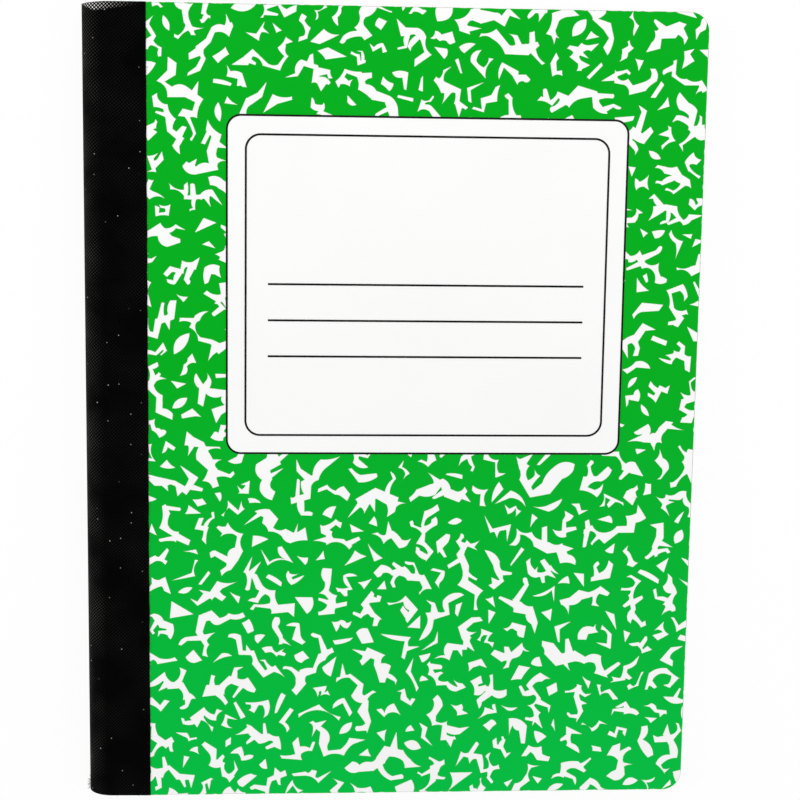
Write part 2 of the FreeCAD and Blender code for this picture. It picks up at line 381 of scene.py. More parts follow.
def tapeCloth():
    # Black coated book cloth with fine weave and stray lint, its weave crowns painted lighter as a highlight,
    # most on the round of the spine, and a crescent of painted highlight at the head of the spine
    material, tree, shader = newMaterial(
        "tapeCloth", {"Specular IOR Level": 0.01, "Sheen Weight": 0.05, "Sheen Roughness": 0.25}
    )
    surface = addNode(tree, "ShaderNodeUVMap", uv_map="surface").outputs["UV"]
    woven = useGroup(tree, clothWeave, Vector=surface, Pitch=cloth["pitch"], Turn=cloth["turn"])
    found = useGroup(tree, mottle, Vector=surface, **{"Patch Scale": 60.0, "Grain Scale": 5000.0})
    # Painted highlight: crowns of the weave lighter than the threads, and lighter again on the round of the
    # spine
    lit = calc(tree, "MULTIPLY", woven["Crown"], ramp(tree, found["Patches"], 0.2, 1, 0.15, 1.0))
    apart = addNode(tree, "ShaderNodeSeparateXYZ", {"Vector": surface})
    fromSpine = calc(tree, "ABSOLUTE", apart.outputs["X"])
    crownHighlight = blendColor(tree, ramp(tree, fromSpine, 9 * mm, 3 * mm), cloth["crownHighlight"], cloth["spineHighlight"])
    color = blendColor(tree, lit, cloth["thread"], crownHighlight)
    # Painted highlight: a crescent of near-white crowns just below the head of the spine, widest a little way
    # from its middle
    fromHead = calc(tree, "SUBTRACT", halfHeight, apart.outputs["Y"])
    start, widest, end = cloth["headHighlightEnds"]
    falling = ramp(tree, fromSpine, end, widest, 0.35)
    reach = calc(tree, "MULTIPLY", ramp(tree, fromSpine, start, widest), falling)
    inside = calc(tree, "SUBTRACT", calc(tree, "MULTIPLY", reach, cloth["headHighlightReach"]), fromHead)
    headHighlight = calc(tree, "MULTIPLY", ramp(tree, inside, 0, 0.8 * mm), ramp(tree, fromHead, 0, 0.3 * mm))
    bright = calc(tree, "POWER", ramp(tree, fromSpine, end, widest, 0.12), 3.0)
    headHighlight = calc(tree, "MULTIPLY", headHighlight, bright)
    headHighlight = calc(tree, "MULTIPLY", headHighlight, ramp(tree, woven["Crown"], 0.3, 0.7))
    headHighlight = calc(tree, "MULTIPLY", headHighlight, ramp(tree, found["Grain"], 0.2, 0.6, 0.35, 1.0))
    color = blendColor(tree, headHighlight, color, cloth["headHighlight"])
    spots = addNode(tree, "ShaderNodeTexVoronoi", {"Vector": surface, "Scale": cloth["lintScale"]},
                    voronoi_dimensions="2D")
    near = ramp(tree, spots.outputs["Distance"], 0.06, 0.02)
    chosen = addNode(tree, "ShaderNodeSeparateXYZ", {"Vector": spots.outputs["Color"]})
    lint = calc(tree, "MULTIPLY", near, ramp(tree, chosen.outputs["X"], 1 - cloth["lintShare"], 1.0))
    tree.links.new(blendColor(tree, lint, color, cloth["lint"]), shader.inputs["Base Color"])
    tree.links.new(ramp(tree, woven["Crown"], 0, 1, *cloth["roughness"]), shader.inputs["Roughness"])
    height = calc(tree, "ADD", woven["Height"], calc(tree, "MULTIPLY", found["Grain"], 0.2))
    addBump(tree, shader, height, cloth["depth"])
    return material


paper = {
    "face": (0.9, 0.9, 0.88, 1),
    "faceShade": (0.885, 0.885, 0.862, 1),
    "edge": (0.87, 0.87, 0.84, 1),
    "edgeShade": (0.6, 0.6, 0.57, 1),
    "streakScale": 4200.0,
    "grainDepth": 0.012 * mm,
    "streakDepth": 0.02 * mm,
    "blueRule": (0.24, 0.42, 0.68, 1),
    "redMargin": (0.72, 0.2, 0.26, 1),
}


def paperMaterials():
    # Writing paper, and the trimmed edges of the leaves with their fine streaks
    face, tree, shader = newMaterial("writingPaper", {"Roughness": 0.85, "Specular IOR Level": 0.2})
    place = addNode(tree, "ShaderNodeTexCoord").outputs["Object"]
    found = useGroup(tree, mottle, Vector=place, **{"Patch Scale": 160.0, "Grain Scale": 6000.0})
    color = blendColor(tree, found["Patches"], paper["face"], paper["faceShade"])
    tree.links.new(color, shader.inputs["Base Color"])
    addBump(tree, shader, found["Grain"], paper["grainDepth"])

    edge, tree, shader = newMaterial("trimmedPaper", {"Roughness": 0.9, "Specular IOR Level": 0.15})
    place = addNode(tree, "ShaderNodeTexCoord").outputs["Object"]
    stretch = addNode(tree, "ShaderNodeMapping", {"Vector": place, "Scale": (0.02, 0.02, 1.0)})
    streaks = addNode(tree, "ShaderNodeTexNoise",
                      {"Vector": stretch.outputs["Vector"], "Scale": paper["streakScale"], "Detail": 5.0})
    share = ramp(tree, streaks.outputs["Fac"], 0.4, 0.68)
    tree.links.new(blendColor(tree, share, paper["edge"], paper["edgeShade"]), shader.inputs["Base Color"])
    addBump(tree, shader, streaks.outputs["Fac"], paper["streakDepth"])
    return face, edge


def ruleInk(name, color):
    # Thin ink of a ruled line, paler here and there
    material, tree, shader = newMaterial(name, {"Roughness": 0.8, "Specular IOR Level": 0.2})
    place = addNode(tree, "ShaderNodeTexCoord").outputs["Object"]
    found = useGroup(tree, mottle, Vector=place, **{"Patch Scale": 700.0})
    pale = tuple(0.75 * part + 0.2 for part in color[:3]) + (1,)
    share = calc(tree, "MULTIPLY", found["Patches"], 0.6)
    tree.links.new(blendColor(tree, share, color, pale), shader.inputs["Base Color"])
    return material


cottonTones = {
    "sewn": ((0.86, 0.85, 0.8, 1), (0.74, 0.72, 0.66, 1)),
    "loose": ((0.5, 0.48, 0.43, 1), (0.02, 0.02, 0.02, 1)),
    "grainDepth": 0.02 * mm,
}


def cottonThread(name, tones):
    material, tree, shader = newMaterial(
        name, {"Roughness": 0.8, "Specular IOR Level": 0.2, "Sheen Weight": 0.2}
    )
    place = addNode(tree, "ShaderNodeTexCoord").outputs["Object"]
    found = useGroup(tree, mottle, Vector=place, **{"Patch Scale": 900.0, "Grain Scale": 9000.0})
    tree.links.new(blendColor(tree, found["Patches"], *tones), shader.inputs["Base Color"])
    addBump(tree, shader, found["Grain"], cottonTones["grainDepth"])
    return material


cardFace, cardCore = cardMaterials()
green = greenInk()
black = blackInk()
bookCloth = tapeCloth()
leafFace, leafEdge = paperMaterials()
blueRule = ruleInk("blueRule", paper["blueRule"])
redMargin = ruleInk("redMargin", paper["redMargin"])
cotton = cottonThread("cottonThread", cottonTones["sewn"])
looseCotton = cottonThread("looseCotton", cottonTones["loose"])
print("materials built:", len(bpy.data.materials))


# Cover and tape: flat strips with softly rounded edges, wrapped from the middle of the spine over a cover

fold = {
    "reach": 1.6 * mm,  # the crease on each side of the hinge line
    "steps": 16,
    "spineAngles": (90, 89.5, 88, 84, 78, 72, 66, 60, 54, 48, 42, 36, 30, 24, 19),
    "capDip": 0.85 * mm,  # head and tail of the spine are pressed in this far
    "capSpan": 13 * mm,  # from the middle of the spine to where that ends
    "capDepth": 9 * mm,  # how far down the spine the cloth is drawn along
}


def capShare(fromSpine):
    # 1 in the middle of the spine, and 0 where the cover is level again
    share = max(0.0, 1 - abs(fromSpine) / fold["capSpan"])
    return share * share * (3 - 2 * share)


def wrapColumns(radius, end):
    # Places along a strip, from the middle of the spine through the crease to its end
    spine = [-radius * math.radians(angle) for angle in fold["spineAngles"]]
    crease = [fold["reach"] * (2 * i / fold["steps"] - 1) for i in range(fold["steps"] + 1)]
    return spine + crease + [end]


def wrapped(radius, side, drift=None):
    # Where a point of the flat strip lies on the closed book. side is 1 in front and -1 behind.
    def place(along, across, height):
        reach = radius + height
        if drift:
            along += drift(along, across)
        pressed = max(0.0, 1 - (halfHeight - abs(across)) / fold["capDepth"])
        dip = fold["capDip"] * capShare(along + radius * math.pi / 2) * pressed ** 2
        across -= math.copysign(dip, across)
        if along < 0:
            angle = -along / radius
            return hingeLine - reach * math.sin(angle), across, middle + side * reach * math.cos(angle)
        return hingeLine + along, across, middle + side * reach
    return place


def strip(name, columns, rows, thickness, rounding, place, side, materials):
    # A closed strip. A column is (place along, half width, outward way along, outward way across).
    roundSteps = 3
    rings = []
    for k in range(roundSteps + 1):
        angle = math.radians(90 * k / roundSteps)
        rings.append((rounding * (1 - math.sin(angle)), thickness / 2 - rounding * (1 - math.cos(angle))))
    rings += [(inset, -height) for inset, height in reversed(rings)]
    lastColumn, lastRow, lastRing = len(columns) - 1, len(rows) - 1, len(rings) - 1
    points, uvs, found = [], [], {}

    def point(i, j, ring):
        if (i, j, ring) not in found:
            along, half, outAlong, outAcross = columns[i]
            inset, height = rings[ring]
            if 0 < j < lastRow:
                outAlong, outAcross = float(i == lastColumn), 0.0
            along -= inset * outAlong
            across = rows[j] * half - inset * math.copysign(outAcross, rows[j])
            found[i, j, ring] = len(points)
            points.append(place(along, across, height))
            uvs.append((side * (along - columns[0][0]), across))
        return found[i, j, ring]

    faces, slots = [], []
    for i in range(lastColumn):
        for j in range(lastRow):
            corners = ((i, j), (i + 1, j), (i + 1, j + 1), (i, j + 1))
            faces.append([point(*corner, 0) for corner in corners])
            faces.append([point(*corner, lastRing) for corner in reversed(corners)])
            slots += [0, 0]
    rim = [(i, 0) for i in range(lastColumn)] + [(lastColumn, j) for j in range(lastRow)]
    rim += [(i, lastRow) for i in range(lastColumn, 0, -1)] + [(0, j) for j in range(lastRow, 0, -1)]
    for here, following in zip(rim, rim[1:] + rim[:1]):
        for ring in range(lastRing):
            faces.append([point(*here, ring), point(*here, ring + 1),
                          point(*following, ring + 1), point(*following, ring)])
            slots.append(1)
    if side < 0:
        faces = [list(reversed(face)) for face in faces]
    return meshPiece(name, points, faces, materials, slots, uvs)


def bendWith(piece):
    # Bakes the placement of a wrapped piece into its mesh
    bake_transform(piece)


cover = {
    "cornerRadius": 6 * mm,
    "cornerSteps": 14,
    "rounding": 0.12 * mm,
    "endRows": (0, 0.2, 0.45, 0.7, 1),  # shares of the depth that the pressed ends reach
}


def coverHalf(name, side, nodes):
    radius = boardFace - middle - boardThickness / 2
    corner = cover["cornerRadius"]
    reach = foreEdge - hingeLine
    columns = [(along, halfHeight, 0, 1) for along in wrapColumns(radius, reach - corner)[:-1]]
    for k in range(cover["cornerSteps"] + 1):
        angle = math.radians(90 * k / cover["cornerSteps"])
        columns.append((reach - corner + corner * math.sin(angle),
                        halfHeight - corner + corner * math.cos(angle), math.sin(angle), math.cos(angle)))
    ends = [1 - share * fold["capDepth"] / halfHeight for share in cover["endRows"]]
    rows = [-end for end in ends] + ends[::-1]
    piece = strip(name, columns, rows, boardThickness, cover["rounding"],
                  wrapped(radius, side), side, [cardFace, cardCore])
    bendWith(piece)
    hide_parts(*nodes)
    return piece


coverHalf("front_card", 1, ["front_cover", "cover_spine"])
coverHalf("back_card", -1, ["back_cover", "cover_spine"])
print("cover wrapped")


tape = {
    "rounding": 0.05 * mm,
    "clearance": 0.006 * mm,  # over the printed ink
    "rowStep": 1.3 * mm,
    "edgeWaver": 0.16 * mm,
    "seed": 3,
}


def tapeShape(side):
    # Where a point of the flat tape lies, and how thick the tape is
    dice = random.Random(tape["seed"] + side)
    waves = [(dice.uniform(0.25, 1), dice.uniform(30, 900), dice.uniform(0, math.tau)) for _ in range(7)]
    total = sum(size for size, _, _ in waves)

    def drift(along, across):
        share = max(0.0, (along - fold["reach"]) / (tapeEdge - hingeLine - fold["reach"]))
        waver = sum(size * math.sin(rate * across + phase) for size, rate, phase in waves) / total
        return tape["edgeWaver"] * waver * share ** 2

    thickness = bookTop - inkFace - tape["clearance"]
    return wrapped(bookTop - middle - thickness / 2, side, drift), thickness


def tapeHalf(name, side, nodes):
    place, thickness = tapeShape(side)
    columns = [(along, halfHeight, 0, 1)
               for along in wrapColumns(bookTop - middle - thickness / 2, tapeEdge - hingeLine)]
    columns[-1] = (columns[-1][0], halfHeight, 1, 1)
    count = round(2 * halfHeight / tape["rowStep"])
    rows = [2 * j / count - 1 for j in range(count + 1)]
    piece = strip(name, columns, rows, thickness, tape["rounding"], place, side, [bookCloth, bookCloth])
    bendWith(piece)
    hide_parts(*nodes)
    return piece


tapeHalf("front_cloth_tape", 1, ["front_tape", "spine_tape"])
tapeHalf("back_cloth_tape", -1, ["back_tape", "spine_tape"])
print("tape wrapped")


# Marbling: angular white flecks left bare in a solid green print. Flecks are laid out in millimetres.

def maybe(dice, chance, low, high):
    return dice.uniform(low, high) if dice.random() < chance else 0.0


def limbCorners(dice, here, along, run, girth):
    # A short limb that leaves one side of a fleck, sometimes with an elbow
    base = min(run * dice.uniform(0.5, 0.9), dice.uniform(1.3, 2.6))
    root = here + along * run * dice.uniform(0.4, 0.6)
    out = along * 1j * cmath.rect(1, math.radians(dice.uniform(-34, 34)))
    slim = base * dice.uniform(0.5, 0.85)
    tip = root + out * girth * dice.uniform(1.4, 3.3)
    corners = [[root - along * base / 2, -maybe(dice, 0.5, 0.04, 0.14)]]
    elbow = None
    if dice.random() < 0.42:
        bend = math.radians(dice.choice((-1, 1)) * dice.uniform(35, 80))
        across = out * -1j * cmath.rect(1, bend / 2) * slim / 2
        elbow = [tip + across, dice.choice((0, 0, 0.1, -0.1))]
        corners.append([tip - across, dice.choice((0, 0, 0.12, -0.12))])
        out *= cmath.rect(1, bend)
        tip += out * girth * dice.uniform(0.9, 2.2)
    if dice.random() < 0.5:
        corners.append([tip, 0.0])
    else:
        half = out * -1j * slim * dice.uniform(0.3, 0.55)
        corners.append([tip - half + out * slim * dice.uniform(-0.4, 0.4), dice.choice((0, 0, 0.25))])
        corners.append([tip + half, 0.0])
    if elbow:
        corners.append(elbow)
    corners.append([root + along * base / 2, -maybe(dice, 0.5, 0.05, 0.2)])
    return corners


def branchCorners(dice, length, bends, limbCount, girth, sway):
    # A bent bar with uneven width and a few limbs. A corner is (place, bulge of the side that follows).
    step = length / (bends + 1)
    heading, swing = 0.0, dice.choice((-1, 1))
    nodes, headings = [0j], []
    for _ in range(bends + 1):
        headings.append(heading)
        nodes.append(nodes[-1] + cmath.rect(step * dice.uniform(0.7, 1.3), heading))
        heading += swing * math.radians(dice.uniform(*sway))
        if dice.random() < 0.7:
            swing = -swing
    last = bends + 1
    banks = {1: [], -1: []}
    for i, node in enumerate(nodes):
        atEnd = i in (0, last)
        if atEnd and dice.random() < 0.45:
            banks[1].append(node)
            banks[-1].append(None)
            continue
        lie = cmath.rect(1, (headings[max(i - 1, 0)] + headings[min(i, last - 1)]) / 2)
        half = girth * (dice.uniform(0.3, 0.85) if atEnd else dice.uniform(0.55, 1.3))
        slant = half * dice.uniform(-0.8, 0.8) if atEnd else 0.0
        for side in (1, -1):
            banks[side].append(node + lie * side * complex(slant, half * dice.uniform(0.7, 1.25)))
    spots = [(i, side) for i in range(last) for side in (1, -1)]
    dice.shuffle(spots)
    limbs = set(spots[:limbCount])
    corners = []
    for side, order in ((1, range(last + 1)), (-1, range(last, -1, -1))):
        for i in order:
            here, following = banks[side][i], i + side
            if here is None:
                continue
            corners.append([here, 0.0])
            if not 0 <= following <= last:
                continue
            ahead = banks[side][following]
            if ahead is None:
                ahead = nodes[following]
            run = abs(ahead - here)
            if (min(i, following), side) in limbs and run > 1.2:
                corners[-1][1] = -maybe(dice, 0.5, 0.05, 0.2)
                corners += limbCorners(dice, here, (ahead - here) / run, run, girth)
            else:
                corners[-1][1] = dice.choice((0, 0, 0, 1, -1, -1)) * dice.uniform(0.05, 0.2)
    return corners


def antler(dice, length):
    bends = max(2, min(6, round(length / dice.uniform(3.2, 4.6)) - 1))
    return branchCorners(dice, length, bends, dice.randint(2, 4), dice.uniform(1.1, 1.9), (20, 95))


def hook(dice, length):
    bends, limbCount = dice.choice((1, 1, 2, 2, 3)), dice.choice((0, 0, 1, 1))
    return branchCorners(dice, length, bends, limbCount, dice.uniform(0.85, 1.5), (35, 115))


def shard(dice, length):
    # A lens, a slanted bar, a triangle or a four-sided chip
    kind = dice.random()
    if kind < 0.14:
        bulge = dice.uniform(0.2, 0.36)
        return [[-length / 2 + 0j, bulge], [length / 2 + 0j, bulge * dice.uniform(0.4, 1.2)]]
    if kind < 0.34:
        half = length * complex(0.5, 0)
        rise = length * complex(0, dice.uniform(0.09, 0.18))
        skew = abs(rise) * dice.uniform(-1.6, 1.6)
        narrow = dice.uniform(0.3, 1.0)
        return [[-half + rise + skew / 2, 0.0], [half + rise * narrow - skew, 0.0],
                [half - rise * narrow, dice.choice((0, 0, 0.06))], [-half - rise, 0.0]]
    count = 3 if kind < 0.76 else 4
    flat = dice.uniform(0.4, 0.85)
    start = dice.uniform(0, math.tau)
    corners = []
    for i in range(count):
        angle = start - math.tau * (i + dice.uniform(-0.25, 0.25)) / count
        corner = cmath.rect(dice.uniform(0.38, 0.6) * length, angle)
        bulge = dice.choice((0, 0, 0, 1, -0.5)) * dice.uniform(0.06, 0.2)
        corners.append([complex(corner.real, corner.imag * flat), bulge])
    return corners


flecks = {
    "seed": 5,
    "cell": 0.5,  # side of the squares that keep flecks apart
    "gapCells": 2,
    "curveStep": 0.45,
    "tries": 30000,
    "kinds": ((antler, 150, (13, 30)), (hook, 190, (8, 16)), (shard, 190, (4.5, 10))),
    "underTape": 0.8,  # the print goes on beneath the tape
}


def curvedPoints(corners):
    points = []
    for i, (here, bulge) in enumerate(corners):
        side = corners[(i + 1) % len(corners)][0] - here
        steps = max(3, min(9, round(abs(side) / flecks["curveStep"]))) if bulge else 1
        for k in range(steps):
            share = k / steps
            points.append(here + side * (share + 4j * bulge * share * (1 - share)))
    return points


def crossesItself(points):
    def turn(a, b, c):
        return ((b - a).conjugate() * (c - a)).imag

    count = len(points)
    for i in range(count):
        a, b = points[i], points[(i + 1) % count]
        for j in range(i + 2, count - (i == 0)):
            c, d = points[j], points[(j + 1) % count]
            if turn(a, b, c) * turn(a, b, d) < 0 and turn(c, d, a) * turn(c, d, b) < 0:
                return True
    return False


def cellsUnder(points):
    # Squares of the layout that an outline covers or touches
    cell = flecks["cell"]
    sides = list(zip(points, points[1:] + points[:1]))
    cells = set()
    for a, b in sides:
        steps = int(abs(b - a) / cell) + 1
        for k in range(steps):
            place = a + (b - a) * k / steps
            cells.add((math.floor(place.real / cell), math.floor(place.imag / cell)))
    rows = [point.imag / cell for point in points]
    for row in range(math.floor(min(rows)), math.floor(max(rows)) + 1):
        level = (row + 0.5) * cell
        hits = []
        for a, b in sides:
            if (a.imag > level) != (b.imag > level):
                hits.append(a.real + (level - a.imag) * (b.real - a.real) / (b.imag - a.imag))
        hits.sort()
        for start, end in zip(hits[::2], hits[1::2]):
            columns = range(math.floor(start / cell), math.floor(end / cell) + 1)
            cells.update((column, row) for column in columns)
    return cells


def scatterFlecks(seed, low, high):
    # Outlines of flecks, large ones first, with a thin web of green kept between them
    dice = random.Random(seed)
    gap = range(-flecks["gapCells"], flecks["gapCells"] + 1)
    near = [(i, j) for i in gap for j in gap if i * i + j * j <= flecks["gapCells"] ** 2]
    taken, outlines = set(), []
    for shape, count, lengths in flecks["kinds"]:
        placed = 0
        for _ in range(flecks["tries"]):
            if placed == count:
                break
            place = complex(dice.uniform(low.real, high.real), dice.uniform(low.imag, high.imag))
            if (math.floor(place.real / flecks["cell"]), math.floor(place.imag / flecks["cell"])) in taken:
                continue
            points = curvedPoints(shape(dice, dice.uniform(*lengths)))
            centre = sum(points) / len(points)
            turn = cmath.rect(1, dice.uniform(0, math.tau))
            if dice.random() < 0.5:
                points = [place + (point - centre).conjugate() * turn for point in points]
            else:
                points = [place + (point - centre) * turn for point in points]
            if crossesItself(points):
                continue
            cells = cellsUnder(points)
            if cells & taken:
                continue
            taken.update((column + i, row + j) for column, row in cells for i, j in near)
            outlines.append(points)
            placed += 1
    return outlines


def roundedOutline(low, high, leftRadius, rightRadius, steps=12):
    # Outline of a rectangle with rounded corners, anticlockwise from its lower left corner
    corners = (
        (complex(low.real, low.imag), leftRadius, 1 + 1j, 180),
        (complex(high.real, low.imag), rightRadius, -1 + 1j, 270),
        (complex(high.real, high.imag), rightRadius, -1 - 1j, 0),
        (complex(low.real, high.imag), leftRadius, 1 - 1j, 90),
    )
    outline = []
    for corner, radius, inward, start in corners:
        if not radius:
            outline.append(corner)
            continue
        for k in range(steps + 1):
            angle = math.radians(start + 90 * k / steps)
            outline.append(corner + radius * inward + cmath.rect(radius, angle))
    return outline


def anticlockwise(outline):
    area = sum((a.conjugate() * b).imag for a, b in zip(outline, outline[1:] + outline[:1]))
    return outline if area > 0 else outline[::-1]


def printedLayer(name, patches, low, high, materials):
    # A thin layer of ink. Each patch is an outline and the outlines left bare in it, in millimetres.
    points, faces = [], []
    for outline, bare in patches:
        flat, loops = [], []
        for loop in [outline] + bare:
            loops.append(range(len(flat), len(flat) + len(loop)))
            flat += [Vector((place.real, place.imag)) for place in anticlockwise(loop)]
        made = delaunay_2d_cdt(flat, [], [list(loop) for loop in loops], 1, 1e-5, True)
        printed = [face for face, origin in zip(made[2], made[5]) if set(origin) == {0}]
        sides = {(face[i], face[(i + 1) % len(face)]) for face in printed for i in range(len(face))}
        rim = [side for side in sides if side[::-1] not in sides]
        used = sorted({corner for face in printed for corner in face})
        place = {corner: len(points) + i for i, corner in enumerate(used)}
        under = len(used)
        for height in (high, low):
            points += [(made[0][corner].x * mm, made[0][corner].y * mm, height) for corner in used]
        faces += [[place[corner] for corner in face] for face in printed]
        faces += [[place[corner] + under for corner in reversed(face)] for face in printed]
        faces += [[place[b], place[a], place[a] + under, place[b] + under] for a, b in sorted(rim)]
    return meshPiece(name, points, faces, materials)


panel = {
    "radius": 4.6,
    "frameInset": 5.75,
    "innerRadius": 4.8,
    "lineWidth": 0.62,
    "ruleCount": 3,
    "rulePitch": 11.15,
    "ruleInset": 7.15,
    "firstRule": 51.5,
}
panelLow, panelHigh = [complex(corner.x, corner.y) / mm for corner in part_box("panel_lines")]


def panelOutline(inset, radius):
    margin = complex(inset, inset)
    return roundedOutline(panelLow + margin, panelHigh - margin, radius, radius)


def marblingLayer(name, seed, bare, low, high, body, node):
    corner = cover["cornerRadius"] / mm
    start = complex(tapeEdge / mm - flecks["underTape"], -halfHeight / mm)
    end = complex(foreEdge / mm, halfHeight / mm)
    outlines = scatterFlecks(seed, start, end)
    inset = cover["rounding"] / mm * 0.5
    sheet = roundedOutline(start + 1j * inset, end - complex(inset, inset), 0, corner - inset)
    piece = printedLayer(name, [(sheet, bare + outlines)], low, high, [green])
    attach(piece, body)
    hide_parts(node)
    print(name, len(outlines), "flecks", len(piece.data.polygons), "faces")


def panelPrint():
    # Double frame and writing rules of the name panel
    width, inset = panel["lineWidth"], panel["frameInset"]
    patches = [
        (panelOutline(0, panel["radius"]), [panelOutline(width, panel["radius"] - width)]),
        (panelOutline(inset, panel["innerRadius"]),
         [panelOutline(inset + width, panel["innerRadius"] - width)]),
    ]
    margin = inset + panel["ruleInset"]
    for i in range(panel["ruleCount"]):
        level = panelHigh.imag - panel["firstRule"] - i * panel["rulePitch"]
        low = complex(panelLow.real + margin, level - width / 2)
        high = complex(panelHigh.real - margin, level + width / 2)
        patches.append((roundedOutline(low, high, 0, 0), []))
    piece = printedLayer("panel_print", patches, boardFace, inkFace, [black])
    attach(piece, "front_board")
    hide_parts("panel_lines")


inkThickness = inkFace - boardFace
backFace = bookTop - boardFace
marblingLayer("front_print", flecks["seed"], [panelOutline(0, panel["radius"])], boardFace, inkFace,
              "front_board", "front_marbling")
marblingLayer("back_print", flecks["seed"] + 1, [], backFace - inkThickness, backFace,
              "back_board", "back_marbling")
panelPrint()
print("covers printed")


# Leaves: nested folded sheets, each a little uneven

leaves = {  # inputs of the tree below
    "Sheets": 50,
    "Leaf Thickness": 0.066 * mm,
    "Unevenness": 0.007 * mm,
    "Ragged": 0.05 * mm,
    "Seed": 11,
}


